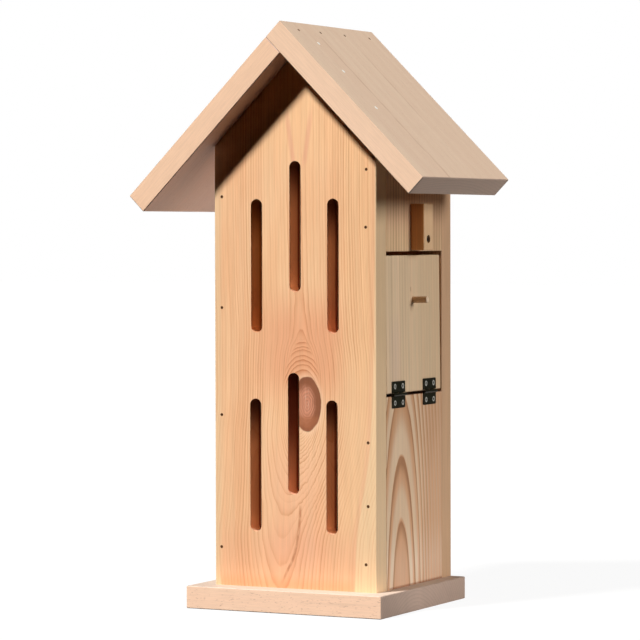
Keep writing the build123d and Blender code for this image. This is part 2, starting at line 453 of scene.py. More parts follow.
def knot_colour(g, place, knot):
    """Pink in the middle, brown in a ring near the edge, and red at the foot."""
    x, y, z = place
    blotch = g.noise(place, (4.0, 4.0, 5.0), 7.0, 2.0)
    rings = g.math("FRACT", knot * 8.0 + g.noise(place, (5.0, 5.0, 5.0), 6.0, 1.0) * 1.2)
    lean = (x - KNOT_X) * 0.016 + (z - KNOT_Z) * 0.003
    wood = g.mix(g.step(knot + blotch * 0.3 + lean, 0.58, 1.02), KNOT_PINK, KNOT_BROWN)
    wood = g.mix(g.step(rings, 0.2, 0.9) * g.step(x, KNOT_X, KNOT_X + 7.0, 0.35, 0.7), wood, KNOT_BROWN)
    wood = g.mix(g.step(z, KNOT_Z - 8.0, KNOT_Z - 14.0, 0.0, 0.7), wood, KNOT_RED)
    wood = g.mix(g.step(knot, 0.84, 0.94, 0.0, 0.4) * g.step(blotch, 0.3, 0.6), wood, KNOT_BARK)
    cracks = g.near(x, KNOT_X - 1.6, 0.8) + g.near(x, KNOT_X + 1.2, 0.6)
    cracks = cracks * g.near(z, KNOT_Z + 4.0, 14.0) * g.step(blotch, 0.35, 0.6)
    return g.mix(cracks * 0.5, wood, KNOT_CRACK)


print("the knot is", 2 * KNOT_HALF_WIDTH, "mm wide and", 2 * KNOT_HALF_HEIGHT, "mm high")

# %% [markdown]
# ## The colour of the front board
# A bare board isn't one colour. This one is orange, redder above the knot and at its foot, and paler
# along both edges, where the sapwood begins, the youngest wood under the bark. The colours are laid on as
# a painter would, in broad soft washes before any line is drawn. The border of the right sapwood leans, so
# it is a curve, and everything beyond it is the paler wood.

# %% Broad colours of the front board
FRONT_LIGHT = (0.985, 0.625, 0.358)
FRONT_DARK = (0.955, 0.565, 0.310)
GABLE_ORANGE = (1.0, 0.620, 0.335)
ROSE_OVER_KNOT = (0.885, 0.437, 0.240)
RIGHT_PART_LOW = (0.920, 0.575, 0.315)
RIGHT_PART_HIGH = (0.985, 0.650, 0.350)
LOW_ORANGE = (0.90, 0.490, 0.285)
FOOT_RED = (0.84, 0.420, 0.215)
LOWER_MIDDLE_TINT = (1.0, 0.94, 0.99)
SAP_BORDER = (0.84, 0.46, 0.28)
RIGHT_SAPWOOD = (0.93, 0.660, 0.390)
LEFT_SAPWOOD = (0.91, 0.640, 0.380)
SAPWOOD_EDGE = [(0, 58), (20, 58.5), (65, 60.8), (118, 69.5), (138, 72.6), (184, 75.8), (300, 78), (480, 79)]


def front_tint(g, x, z, place):
    """Orange wood, redder above the knot and at the foot, and yellower sapwood at both edges."""
    patches = g.step(g.noise(place, (22.0, 40.0, 130.0), 21.0, 2.0), 0.35, 0.65)
    wood = g.mix(patches, FRONT_LIGHT, FRONT_DARK)
    wood = g.mix(g.step(z, 380.0, 420.0, 0.0, 0.6), wood, GABLE_ORANGE)
    wood = g.mix(g.near(z, 232.0, 64.0) * g.near(x, 8.0, 66.0) * 0.9, wood, ROSE_OVER_KNOT)
    right = g.mix(g.step(z, 180.0, 240.0), RIGHT_PART_LOW, RIGHT_PART_HIGH)
    wood = g.mix(g.step(x, 36.0, 56.0, 0.0, 0.5), wood, right)
    wood = g.mix(g.step(z, 90.0, 50.0, 0.0, 0.6), wood, LOW_ORANGE)
    wood = g.mix(g.step(z, 34.0, 22.0, 0.0, 0.8), wood, FOOT_RED)
    wood = g.glaze(g.near(z, 90.0, 90.0) * g.near(x, 0.0, 44.0), wood, LOWER_MIDDLE_TINT)
    sap_edge = x - g.curve(z, SAPWOOD_EDGE, FRONT_HEIGHTS, (0.0, 100.0))
    wood = g.mix(g.near(sap_edge, -1.5, 4.0) * 0.35, wood, SAP_BORDER)
    wood = g.mix(g.step(sap_edge, -1.0, 1.0, 0.0, 0.8), wood, RIGHT_SAPWOOD)
    return g.mix(g.step(x, -71.0, -77.0, 0.0, 0.8), wood, LEFT_SAPWOOD)


print("the right sapwood is", round(front_high.x * MM - SAPWOOD_EDGE[0][1]), "mm wide at the foot")

# %% [markdown]
# ## Resin and the slots
# Resin collects between rings as reddish streaks and seams, here in a narrow V above the upper middle slot
# and in a broken seam below the lower one. Each is a line whose distance from the place decides how red the
# wood is. Inside the slots the walls get painted shade, darkest deep in, towards the back, and at the
# rounded top. That painted shade is a glaze over the slots' walls only, which are the places below the face.

# %% Resin and painted slot shade
RESIN_SEAM = [(0, -20), (20, -15), (33, -9), (57, 1), (85, 5), (130, 6), (480, 6)]
VEE_X = 4.5
VEE_FOOT = 54.0
VEE_SPREAD = 0.150
MIDDLE_RISE = 35.0
ROW_PITCH = 176.7
SLOT_MOUTH_TINT = (1.0, 1.0, 1.10)
SLOT_DEEP_SHADE = (0.82, 0.74, 0.72)
SLOT_BACK_SHADE = (0.25, 0.07, 0.04)
SLOT_TOP_SHADE = (0.22, 0.09, 0.08)
UPPER_LEFT_SLOT_SHADE = (0.60, 0.40, 0.12)
SLOT_BY_KNOT = (0.40, 0.18, 0.16)


def red_streaks(g, x, z, place):
    """Two streaks above the upper middle slot, and a dark seam of resin below the lower one."""
    vee = abs(x - VEE_X) - (z * VEE_SPREAD - VEE_FOOT)
    above = g.near(vee, 0.0, 3.4) * g.step(z, 386.0, 402.0) * g.step(z, 450.0, 424.0)
    seam_x = g.curve(z, RESIN_SEAM, FRONT_HEIGHTS, SIDEWAYS)
    broken = g.step(g.noise(place, (3.0, 3.0, 9.0), 24.0, 2.0), 0.35, 0.6, 0.35, 1.0)
    seam = g.near(x - seam_x, 0.0, 2.0) * broken * g.step(z, 100.0, 86.0) * g.step(z, 20.0, 36.0)
    return above * 0.45, seam * 0.7


def slot_painted_shade(g, colour, x, below, z):
    """Painted shade inside the slots, darker towards the back and towards each slot's top."""
    aside = abs(x)
    routed = g.step(below, 0.4, 0.8) * g.step(below, 19.6, 19.2) * g.step(aside, 71.0, 70.0)
    lowered = z - g.step(aside, 18.0, 20.0, MIDDLE_RISE, 0.0)
    height = lowered - g.step(lowered, 200.0, 210.0) * ROW_PITCH
    # Painted shade in the slots: a faintly bluer mouth, darker further in, darkest at the back and near the
    # top.
    tint = g.mix(g.step(below, 2.0, 13.0), SLOT_MOUTH_TINT, SLOT_DEEP_SHADE)
    tint = g.mix(g.step(below, 14.5, 17.5, 0.0, 0.9), tint, SLOT_BACK_SHADE)
    tint = g.mix(g.step(height, 142.0, 186.0, 0.0, 0.8), tint, SLOT_TOP_SHADE)
    tint = g.mix(g.step(x, -20.0, -22.0) * g.step(z, 235.0, 240.0) * 0.45, tint, UPPER_LEFT_SLOT_SHADE)
    beside_knot = g.step(aside, 14.0, 10.0) * g.near(z, KNOT_Z - 5.0, 55.0)
    tint = g.mix(beside_knot * 0.75, tint, SLOT_BY_KNOT)
    return g.glaze(routed, colour, tint)


print("rows of slots are", ROW_PITCH, "mm apart, and the middle slots stand", MIDDLE_RISE, "mm higher")

# %% [markdown]
# ## How bold the lines are
# The same rings look strong in one place and faint in another, because years differ and the saw met them
# at different slants. In the straight grain towards the edges, finer lines show between them as well. One
# strength for the whole board would look printed, so it is a product of soft patches, whose borders fade
# so slowly that they can't be seen.

# %% Strength of the lines from place to place
def boldness(g, x, z):
    """How strongly the rings show, from place to place on the front board."""
    right = g.step(z, 200.0, 250.0, 0.42, 1.45)
    bold = g.step(x, 40.0, 52.0, 1.0, 0.0) + g.step(x, 40.0, 52.0) * right
    bold = bold * g.step(x, -60.0, -66.0, 1.0, 0.75) * g.step(x, -44.0, -50.0, 1.0, 1.25)
    upper = (g.near(x, -18.0, 18.0) * 0.45 + g.near(x, 18.0, 16.0) * 0.2) * g.step(z, 225.0, 245.0)
    lower = g.near(x, -14.0, 12.0) * g.near(z, 110.0, 60.0) * 0.5
    foot = g.near(x, -4.0, 50.0) * g.step(z, 70.0, 55.0) * 0.18
    across_middle = g.near(z, 190.0, 70.0) * g.step(abs(x), 26.0, 36.0) * 0.2
    return bold * (across_middle - upper - lower - foot + 1.0)


def front_lines(g, place, below, knot):
    """All the lines of the front board: its rings, finer ones between them, and the arches."""
    x, y, z = place
    rings = front_rings(g, x, below, z)
    faint = g.step(g.noise(place, (12.0, 12.0, 80.0), 23.0, 2.0), 0.3, 0.7, 0.55, 1.0)
    lines = ring_lines(g, rings, 1.7, 0.7) * faint
    straight = g.step(abs(x - 3.0), 14.0, 28.0) * g.step(z, 200.0, 260.0)
    straight = g.math("MAXIMUM", straight, g.step(x, -36.0, -50.0))
    fine = ring_lines(g, rings * 2.3, 4.7, 0.8) * 0.55
    lines = lines * (straight * -0.35 + 1.0) + fine * straight * (1.0 - lines)
    lines = lines * (g.near(x, 4.0, 20.0) * g.step(z, 360.0, 400.0) * -0.75 + 1.0)
    lines = lines * boldness(g, x, z)
    arches, over_knot = arches_over_knot(g, x, z, place)
    lines = lines * (1.0 - over_knot) + ring_lines(g, arches, 2.7, 0.3) * over_knot * 1.45
    on_face = g.step(abs(x), 79.4, 78.4, 0.35, 1.0) * g.step(below, 0.4, 1.0, 1.0, 0.4)
    return lines * on_face * g.step(knot, 1.02, 1.3, 0.4, 1.0)


print("the lines fade on the narrow edges, inside the slots and at the knot")

# %% [markdown]
# ## The front board put together
# The layers go on from large to small: the washes, a paler halo round the knot, the dark lines, the resin,
# the knot, and last the painted shade in the slots. The board's narrow edges show another cut of the wood,
# so they get a plain colour that is darker further up.

# %% Front board material
KNOT_HALO = (1.0, 0.66, 0.44)
LATE_WOOD = (0.64, 0.225, 0.090)
VEE_RED = (0.82, 0.36, 0.24)
SEAM_BROWN = (0.48, 0.155, 0.055)
EDGE_LOW = (0.93, 0.66, 0.40)
EDGE_HIGH = (0.80, 0.57, 0.34)


def front_board():
    g = Graph("front_board_larch")
    place = g.place()
    x, y, z = place
    below = y - FRONT_FACE
    knot = knot_distance(g, place)
    wood = front_tint(g, x, z, place)
    wood = g.mix(g.step(knot, 1.35, 1.02, 0.0, 0.4), wood, KNOT_HALO)
    wood = g.mix(front_lines(g, place, below, knot), wood, LATE_WOOD)
    above, seam = red_streaks(g, x, z, place)
    wood = g.mix(above, wood, VEE_RED)
    wood = g.mix(seam, wood, SEAM_BROWN)
    colour = g.mix(g.step(knot, 1.04, 0.98), wood, knot_colour(g, place, knot))
    # Last comes the painted shade inside the slots.
    colour = slot_painted_shade(g, colour, x, below, z)
    edge_colour = g.mix(g.step(z, 60.0, 260.0), EDGE_LOW, EDGE_HIGH)
    colour = g.mix(g.step(abs(x), 79.0, 79.6) * 0.8, colour, edge_colour)
    return finish_wood(g, colour, fibres(g, x, below, z, 11.0))


dress("front_wall", front_board())

# %% [markdown]
# ## The other softwood boards
# The sides and the door are plainer boards of the same kind, with the grain running up and their broad
# faces to the right and left. Each one is a different piece of the tree, with its own middle, ring width
# and seed. What they share is how a place is measured on them, and a class keeps that in one spot.

# %% A board in a side wall
SIDE_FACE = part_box("right_wall_lower")[1].x * MM


class Board:
    """The place in a side board, measured for its own tree: the grain runs up, and Y runs across."""

    def __init__(self, name):
        self.g = Graph(name)
        x, self.y, self.z = self.g.place()
        self.below = SIDE_FACE - abs(x)

    def lines(self, pith_along_y, pith_below, ring_width, seed, line_seed, unevenness=0.6):
        """Growth rings of even width round a middle at the given place."""
        radius = radius_from(self.g, self.y, self.below, self.z, pith_along_y, pith_below, seed, 1.0)
        return ring_lines(self.g, radius * (1.0 / ring_width), line_seed, unevenness)

    def patches(self, seed, width=26.0, length=130.0):
        """Broad patches, from 0 to 1, of the given size on the face."""
        place = (self.below, self.y, self.z)
        return self.g.step(self.g.noise(place, (40.0, width, length), seed, 2.0), 0.35, 0.65)

    def finish(self, colour, seed):
        return finish_wood(self.g, colour, fibres(self.g, self.y, self.below, self.z, seed))


print("side boards are measured inwards from", round(SIDE_FACE, 1), "mm to either side")

# %% [markdown]
# ## The lower side board
# This board was sawn nearly along the tree's middle, so few rings cross its face, and they come out as tall
# nested arches with broad brown late wood. The middle leans back from the face on the way up, which makes
# the arches close at the top. Its rings get a profile of their own, because on this board the late wood
# starts early and ends in a sharp dark line. The sawn top edge, in the gap of the door, gets painted shade,
# and a thin line of painted shade runs along its foot, all but the front end, where it meets the base.

# %% Lower side board
ARCH_PROFILE = [(0.0, 0.0), (0.28, 0.06), (0.52, 0.42), (0.8, 0.7), (0.93, 1.0), (1.0, 0.0)]
ARCH_MIDDLE = -28.0
ARCH_LEAN = 0.188
ARCH_DEPTH = 5.3
RINGS_OF_LOWER_SIDE = [(0, 1.5), (9, 1.62), (21, 2), (31.5, 3), (42, 4), (60, 7), (110, 16)]
CREAM = (0.89, 0.65, 0.435)
ORANGE_TAN = (0.79, 0.44, 0.245)
TOP_TAN = (0.68, 0.36, 0.185)
DARK_TAN = (0.50, 0.245, 0.118)
REAR_TAN = (0.765, 0.485, 0.30)
PATCH_TINT = (0.90, 0.84, 0.80)
PALE_FOOT = (1.12, 1.21, 1.34)
FOOT_PAINTED_SHADE = (0.45, 0.30, 0.24)
GAP_PAINTED_SHADE = (0.22, 0.15, 0.12)
LOWER_SIDE_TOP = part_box("right_wall_lower")[1].z * MM


def lower_side_board():
    board = Board("side_board_lower")
    g = board.g
    pith_below = board.z * ARCH_LEAN + ARCH_DEPTH
    radius = radius_from(g, board.y, board.below, board.z, ARCH_MIDDLE, pith_below, 31.0, 1.0)
    rings = rings_by_radius(g, radius, RINGS_OF_LOWER_SIDE)
    lines = ring_lines(g, rings, 31.5, 0.35, ARCH_PROFILE) * g.step(board.y, 25.0, 50.0, 1.2, 0.8)
    early = g.mix(g.step(board.y, 0.0, 40.0), CREAM, REAR_TAN)
    late = g.mix(g.step(board.z, 110.0, 165.0), ORANGE_TAN, TOP_TAN)
    colour = g.mix(g.step(lines, 0.0, 0.7), early, late)
    colour = g.mix(g.step(lines, 0.6, 0.95), colour, DARK_TAN)
    colour = g.glaze(board.patches(39.0) * 0.5, colour, PATCH_TINT)
    colour = g.glaze(g.step(board.z, 80.0, 35.0), colour, PALE_FOOT)
    # Painted shade along the foot, where the board meets the base.
    foot = g.step(board.z, 22.6, 20.6) * g.step(board.y, -56.0, -50.0)
    colour = g.glaze(foot * 0.8, colour, FOOT_PAINTED_SHADE)
    # Painted shade on the sawn top edge, in the gap under the door.
    sawn = g.step(board.z, LOWER_SIDE_TOP - 0.5, LOWER_SIDE_TOP - 0.1)
    return board.finish(g.glaze(sawn, colour, GAP_PAINTED_SHADE), 35.0)


dress("right_wall_lower", lower_side_board())

# %% [markdown]
# ## The upper side board
# Above the door the grain is straight and close. The tree's middle is put far to one side of the board, so
# that its rings are nearly flat where they cross the face and show as upright lines. Painted shade makes the
# wood a little darker and rosier under the eave, and its sawn foot, over the door, gets the same painted
# shade as the top edge of the board below.

# %% Upper side board
UPPER_EARLY_FRONT = (0.92, 0.650, 0.380)
UPPER_EARLY_REAR = (0.78, 0.53, 0.305)
UPPER_LATE = (0.44, 0.235, 0.115)
UPPER_PATCH_TINT = (0.84, 0.76, 0.72)
EAVE_PAINTED_SHADE = (0.92, 0.86, 0.89)
UPPER_SIDE_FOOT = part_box("right_wall_upper")[0].z * MM


def upper_side_board():
    board = Board("side_board_upper")
    g = board.g
    lines = board.lines(-120.0, 30.0, 5.2, 37.0, 37.5)
    early = g.mix(g.step(board.y, -20.0, 45.0), UPPER_EARLY_FRONT, UPPER_EARLY_REAR)
    colour = g.mix(lines * 0.85, early, UPPER_LATE)
    colour = g.glaze(board.patches(38.0, 14.0) * 0.5, colour, UPPER_PATCH_TINT)
    # Painted shade under the eave: darker and rosier towards the top.
    colour = g.glaze(g.step(board.z, 322.0, 348.0), colour, EAVE_PAINTED_SHADE)
    # Painted shade on the sawn foot, in the gap over the door.
    sawn = g.step(board.z, UPPER_SIDE_FOOT + 0.5, UPPER_SIDE_FOOT + 0.1)
    return board.finish(g.glaze(sawn, colour, GAP_PAINTED_SHADE), 41.0)


dress("right_wall_upper", upper_side_board())

# %% [markdown]
# ## The door
# The door was cut from another board, pale and fine, with straight lines that show more towards its front
# edge. A lilac cast lies low at the front, and one small brown mark sits on the outer face. A pattern in
# the solid wood would show the mark on the inner face too, so it ends two millimetres into the board.

# %% Door board
DOOR_EARLY_FRONT = (0.93, 0.680, 0.445)
DOOR_EARLY_REAR = (0.82, 0.575, 0.355)
DOOR_PATCH = (0.78, 0.60, 0.38)
DOOR_LILAC = (0.84, 0.61, 0.46)
DOOR_LATE = (0.55, 0.34, 0.165)
DOOR_MARK = (0.40, 0.22, 0.11)
MARK_Y = -5.9
MARK_Z = 283.8


def door_board():
    board = Board("door_board")
    g = board.g
    lines = board.lines(140.0, 20.0, 5.5, 43.0, 43.5, 0.7)
    early = g.mix(g.step(board.y, -45.0, 52.0), DOOR_EARLY_FRONT, DOOR_EARLY_REAR)
    early = g.mix(board.patches(46.0, 9.0, 300.0) * 0.5, early, DOOR_PATCH)
    early = g.mix(g.near(board.y, -40.0, 16.0) * g.near(board.z, 225.0, 45.0) * 0.5, early, DOOR_LILAC)
    colour = g.mix(lines * g.step(board.y, -28.0, -5.0, 0.55, 0.26), early, DOOR_LATE)
    mark = g.near(board.y, MARK_Y, 1.6) * g.near(board.z, MARK_Z, 3.2) * g.step(board.below, 2.0, 1.0)
    return board.finish(g.mix(mark * 0.5, colour, DOOR_MARK), 47.0)


dress("door_panel", door_board())

# %% [markdown]
# ## The left side and the back
# The photograph doesn't show these two, so they are plain boards of the same wood. In each, the tree's
# middle lies not far below the face and leans away from it upwards, which gives wide pointed arches. The
# back board's narrow edges show at the sides and are browner than its face.

# %% Left side board and back board
LEFT_EARLY = (0.88, 0.62, 0.39)
LEFT_LATE = (0.58, 0.33, 0.17)
BACK_EARLY = (0.93, 0.60, 0.36)
BACK_LATE = (0.62, 0.31, 0.14)
BACK_EDGE = (0.665, 0.410, 0.24)
BACK_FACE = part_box("back_wall")[1].y * MM


def left_side_board():
    board = Board("side_board_left")
    lines = board.lines(30.0, board.z * 0.06 + 10.0, 4.0, 41.0, 41.5)
    return board.finish(board.g.mix(lines * 0.6, LEFT_EARLY, LEFT_LATE), 45.0)


def back_board():
    g = Graph("back_board_larch")
    x, y, z = g.place()
    below = BACK_FACE - y
    radius = radius_from(g, x, below, z, 14.0, z * 0.07 + 26.0, 53.0, 1.4)
    lines = ring_lines(g, radius * (1.0 / 3.0), 54.0)
    colour = g.mix(lines * 0.6, BACK_EARLY, BACK_LATE)
    colour = g.mix(g.step(abs(x), 79.0, 79.6) * 0.9, colour, BACK_EDGE)
    return finish_wood(g, colour, fibres(g, x, below, z, 55.0))


dress("left_wall", left_side_board())
dress("back_wall", back_board())

# %% [markdown]
# ## The wood of the roof and the base
# These boards are a pinkish hardwood with hardly any rings to see on their faces. What shows instead are
# short dark flecks, where rays of cells run from the bark inwards. They could be many small marks, each
# with its own place, but a noise stretched along the grain gives them at once when only its highest
# spots are kept. On the sawn ends the rings do show, as arcs round a middle below the board.

# %% Flecked wood and its end grain
FLECK = (0.45, 0.235, 0.15)
FAINT_STREAK = (0.62, 0.40, 0.27)
END_GRAIN = (0.575, 0.415, 0.330)
END_GRAIN_LINE = (0.30, 0.20, 0.145)
HARDWOOD_ROUGHNESS = 0.6
HARDWOOD_DEPTH = 0.03


def flecked_wood(g, across, through, along, seed, light, dark, amount):
    """Even wood with broad soft bands, faint streaks and short dark flecks along the grain."""
    place = (across, through, along)
    band = g.noise(place, (14.0, 30.0, 400.0), seed, 2.0)
    fine = g.noise(place, (0.9, 0.9, 16.0), seed + 1.0, 3.0)
    flecks = g.step(g.noise(place, (0.8, 0.8, 3.6), seed + 2.0, 1.0), 0.62, 0.72)
    streak = g.step(g.noise(place, (2.2, 4.0, 150.0), seed + 3.0, 2.0), 0.60, 0.74)
    colour = g.mix(g.step(band, 0.3, 0.7), light, dark)
    colour = g.mix(streak * 0.3, colour, FAINT_STREAK)
    return g.mix(flecks * amount, colour, FLECK), fine * 0.6 + band * 0.4


def end_grain(g, across, through, seed, ring_width):
    """Arcs of growth rings where the saw cut across the trunk."""
    radius = radius_from(g, across, through, 0.0, -30.0, -46.0, seed, 1.0)
    lines = ring_lines(g, radius * (1.0 / ring_width), seed + 1.0, 0.5)
    return g.mix(lines * 0.34, END_GRAIN, END_GRAIN_LINE)


print("flecks are under a millimetre wide, and streaks of bare hardwood stand", HARDWOOD_DEPTH, "mm high")

# %% [markdown]
# ## The roof
# The two roof boards lie at 45 degrees, so a place on them is first turned, to run along the slope and
# through the board. The grain follows the slope, down to the sawn end at the eave, and two darker lines run
# down the right board. The front edges of both boards are a lighter cut of the wood, with a rim of painted
# shade that tones down the light that the bevel catches. The camera sees the left board from below, and its
# wood is painted paler and rosier, as the light thrown up from the ground makes that side look, so its top
# has a tint that takes this painted light off and brings it near the right one.

# %% Roof boards
ROOF_SLOPE = pi / 4
ROOF_THICKNESS = 20.0
RIGHT_ROOF_LIGHT = (0.755, 0.573, 0.427)
RIGHT_ROOF_DARK = (0.685, 0.503, 0.372)
RIGHT_ROOF_FRONT = (1.0, 0.685, 0.480)
LEFT_ROOF_PAINTED_LIT_PALE = (0.965, 0.720, 0.635)
LEFT_ROOF_PAINTED_LIT_DARK = (0.915, 0.665, 0.580)
LEFT_ROOF_FRONT = (0.985, 0.645, 0.420)
LEFT_ROOF_TOP_TINT = (0.79, 0.80, 0.68)
ROOF_RIM_PAINTED_SHADE = (0.76, 0.72, 0.70)
ROOF_STREAK = (0.56, 0.37, 0.26)


def long_streaks(g, y, up):
    """Two darker lines that run down the slope, broken and slightly wavy."""
    sway = (g.noise((y, up, 0.0), (60.0, 50.0, 1.0), 77.0, 2.0) - 0.5) * 8.0
    broken = g.step(g.noise((y, up, 0.0), (3.0, 16.0, 1.0), 78.0, 2.0), 0.35, 0.6, 0.3, 1.0)
    first = g.near(y + sway, -50.0, 2.4) * g.step(up, 185.0, 170.0)
    second = g.near(y + sway, 10.0, 2.4) * g.near(up, 120.0, 70.0) * 0.8
    return (first + second) * broken


def roof_material(name, side, seed, light, dark, front):
    """Wood of one slope, which lies to the left where side is -1 and to the right where it is 1."""
    g = Graph(f"roof_beech_{name}")
    x, y, z = g.place()
    low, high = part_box(f"roof_board_{name}")
    reach = max(-low.x, high.x) * MM
    eave = (2.0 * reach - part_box("roof_board_right")[1].z * MM) * cos(ROOF_SLOPE)
    along = x * (side * cos(ROOF_SLOPE)) - z * sin(ROOF_SLOPE)
    through = x * (side * sin(ROOF_SLOPE)) + z * cos(ROOF_SLOPE)
    colour, streaks = flecked_wood(g, y, through, along, seed, light, dark, 0.35)
    if side > 0:
        colour = g.mix(long_streaks(g, y, eave - along) * 0.8, colour, ROOF_STREAK)
    else:
        top = front_high.z * (MM * cos(ROOF_SLOPE)) + ROOF_THICKNESS
        # On the left board's top, this tint takes off the painted light meant for its underside.
        colour = g.glaze(g.step(through, top - 1.0, top - 0.6), colour, LEFT_ROOF_TOP_TINT)
    behind_front = y - low.y * MM
    # A band of painted shade along the front edge tones down the light on the bevel.
    colour = g.glaze(g.step(behind_front, 0.7, 0.6), colour, ROOF_RIM_PAINTED_SHADE)
    colour = g.mix(g.step(behind_front, 0.1, 0.03, 0.0, 0.82), colour, front)
    sawn = g.step(along, eave - 0.7, eave - 0.2, 0.0, 0.9)
    colour = g.mix(sawn, colour, end_grain(g, y, through, seed + 5.0, 3.0))
    return finish_wood(g, colour, streaks, HARDWOOD_ROUGHNESS, HARDWOOD_DEPTH)


right_slope = roof_material("right", 1.0, 61.0, RIGHT_ROOF_LIGHT, RIGHT_ROOF_DARK, RIGHT_ROOF_FRONT)
left_slope = roof_material("left", -1.0, 66.0, LEFT_ROOF_PAINTED_LIT_PALE, LEFT_ROOF_PAINTED_LIT_DARK, LEFT_ROOF_FRONT)
dress("roof_board_right", right_slope)
dress("roof_board_left", left_slope)

# %% [markdown]
# ## The base
# The base board is the same hardwood with its grain across the house. Its narrow edges are rosy, its top
# is greyer, and its right end shows the end grain.

# %% Base board
BASE_LIGHT = (1.0, 0.695, 0.505)
BASE_DARK = (0.965, 0.645, 0.457)
BASE_TOP = (0.665, 0.550, 0.465)
BASE_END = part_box("base_board")[1].x * MM


def base_material():
    g = Graph("base_board_beech")
    x, y, z = g.place()
    colour, streaks = flecked_wood(g, y, z, x, 71.0, BASE_LIGHT, BASE_DARK, 0.48)
    colour = g.mix(g.step(z, 19.3, 19.8, 0.0, 0.9), colour, BASE_TOP)
    sawn = g.step(x, BASE_END - 0.7, BASE_END - 0.2)
    colour = g.mix(sawn, colour, end_grain(g, y, z, 75.0, 3.4))
    return finish_wood(g, colour, streaks, HARDWOOD_ROUGHNESS, HARDWOOD_DEPTH)


dress("base_board", base_material())

# %% [markdown]
# ## Peg and turn button
# The door's knob is a length of round dowel and the turn button a sawn block. Both are darker, closer wood
# with fine rings. The dowel's grain runs out to the right, to a paler sawn tip, and the button's runs up,
# with browner edges, where its two long sides get a warm painted shade. They are too small for a pattern of
# their own, so one close-grained wood serves both.

# %% Peg and button
CLOSE_RING = 1.7
PEG_EARLY = (0.72, 0.46, 0.27)
PEG_LATE = (0.46, 0.25, 0.12)
PEG_TIP = (0.98, 0.74, 0.52)
BUTTON_EARLY = (0.88, 0.58, 0.33)
BUTTON_LATE = (0.60, 0.34, 0.17)
BUTTON_SIDE_PAINTED_SHADE = (1.0, 0.72, 0.48)


def close_wood(g, across, below, along, early, late, seed):
    """Wood with fine, even rings that runs along the last of the three directions."""
    radius = radius_from(g, across, below, along, 40.0, 30.0, seed, 0.6)
    return g.mix(ring_lines(g, radius * (1.0 / CLOSE_RING), seed) * 0.5, early, late)


def peg_material():
    g = Graph("dowel_wood")
    x, y, z = g.place()
    colour = close_wood(g, z, y, x, PEG_EARLY, PEG_LATE, 81.0)
    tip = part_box("door_knob_dowel")[1].x * MM
    colour = g.mix(g.step(x, tip - 0.9, tip - 0.5), colour, PEG_TIP)
    return finish_wood(g, colour, fibres(g, z, y, x, 81.0))


def button_material():
    g = Graph("button_wood")
    x, y, z = g.place()
    colour = close_wood(g, x, y, z, BUTTON_EARLY, BUTTON_LATE, 86.0)
    low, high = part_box("turn_button")
    middle = (low.y + high.y) * (0.5 * MM)
    half_width = (high.y - low.y) * (0.5 * MM)
    # Painted shade on the button's two long sides: browner and warmer.
    edge = g.step(abs(y - middle), half_width - 0.6, half_width - 0.3)
    return finish_wood(g, g.glaze(edge, colour, BUTTON_SIDE_PAINTED_SHADE), fibres(g, x, y, z, 86.0))


dress("door_knob_dowel", peg_material())
dress("turn_button", button_material())

# %% [markdown]
# ## Hinges
# The hinges are stamped steel, painted black and slightly glossy. Paint has a fine orange-peel surface,
# which a very small noise gives as bump, and it rubs thin in places, where it is lighter and duller.

# %% Black paint
PAINT = (0.013, 0.013, 0.005)
WORN_PAINT = (0.037, 0.036, 0.018)


def painted_steel():
    g = Graph("black_painted_steel")
    place = g.place()
    wear = g.step(g.noise(place, (3.0, 3.0, 3.0), 91.0, 4.0), 0.55, 0.75)
    g.set("Base Color", g.mix(wear, PAINT, WORN_PAINT))
    g.set("Roughness", wear * 0.2 + 0.32)
    g.relief(g.noise(place, (0.5, 0.5, 0.5), 92.0, 2.0), 0.02)
    return g.material


black_paint = painted_steel()
for name in nodes:
    if name.endswith(("leaf", "pin")):
        dress(name, black_paint)

# %% [markdown]
# ## Screws and bare steel
# The hinges' screws are dull zinc, the turn button's screw is dark, and the nails are rusty or bright.
# They differ only in colour and polish, so one function makes them all. The recess in a screw's head is
# about two millimetres across, and a dark spot of painted shade in the middle of the head reads as one from
# any distance.
# The two heads of a hinge leaf are one piece, and their places follow from its box.

# %% Steel
ZINC = (0.88, 0.87, 0.79)
DULL_ZINC = (0.66, 0.65, 0.58)
DARK_STEEL = (0.10, 0.085, 0.07)
DARKER_STEEL = (0.05, 0.04, 0.035)
RUST = (0.115, 0.046, 0.018)
DARK_RUST = (0.05, 0.02, 0.008)
BRIGHT_STEEL = (0.95, 0.92, 0.86)
RECESS_PAINTED_SHADE = (0.02, 0.02, 0.02)
METAL_SHINE = 0.5
RUST_SHINE = 0.1


def recess(g, place, screws):
    """1 in the middle of both heads of a pair of screws."""
    low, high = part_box(screws)
    middle = (low + high) * (0.5 * MM)
    apart = (high.y - low.y - (high.z - low.z)) * (0.5 * MM)
    across = abs(place[1] - middle.y) - apart
    return g.step(g.distance(across, place[2] - middle.z), 1.3, 0.9)


def plain_steel(name, colour, dull, roughness, metallic=1.0, screws=None):
    """Bare steel. With the name of a pair of screws, each head gets a spot of painted shade for its recess.
    """
    g = Graph(name)
    place = g.place()
    stain = g.step(g.noise(place, (1.6, 1.6, 1.6), 95.0, 3.0), 0.4, 0.7)
    steel = g.mix(stain, colour, dull)
    if screws:
        # Painted shade: a black spot in the middle of each head, for its recess.
        steel = g.mix(recess(g, place, screws), steel, RECESS_PAINTED_SHADE)
    g.set("Base Color", steel)
    g.set("Roughness", stain * 0.15 + roughness)
    g.set("Metallic", metallic)
    g.set("Specular IOR Level", METAL_SHINE if metallic else RUST_SHINE)
    g.relief(g.noise(place, (0.4, 0.4, 0.4), 96.0, 2.0), 0.01)
    return g.material


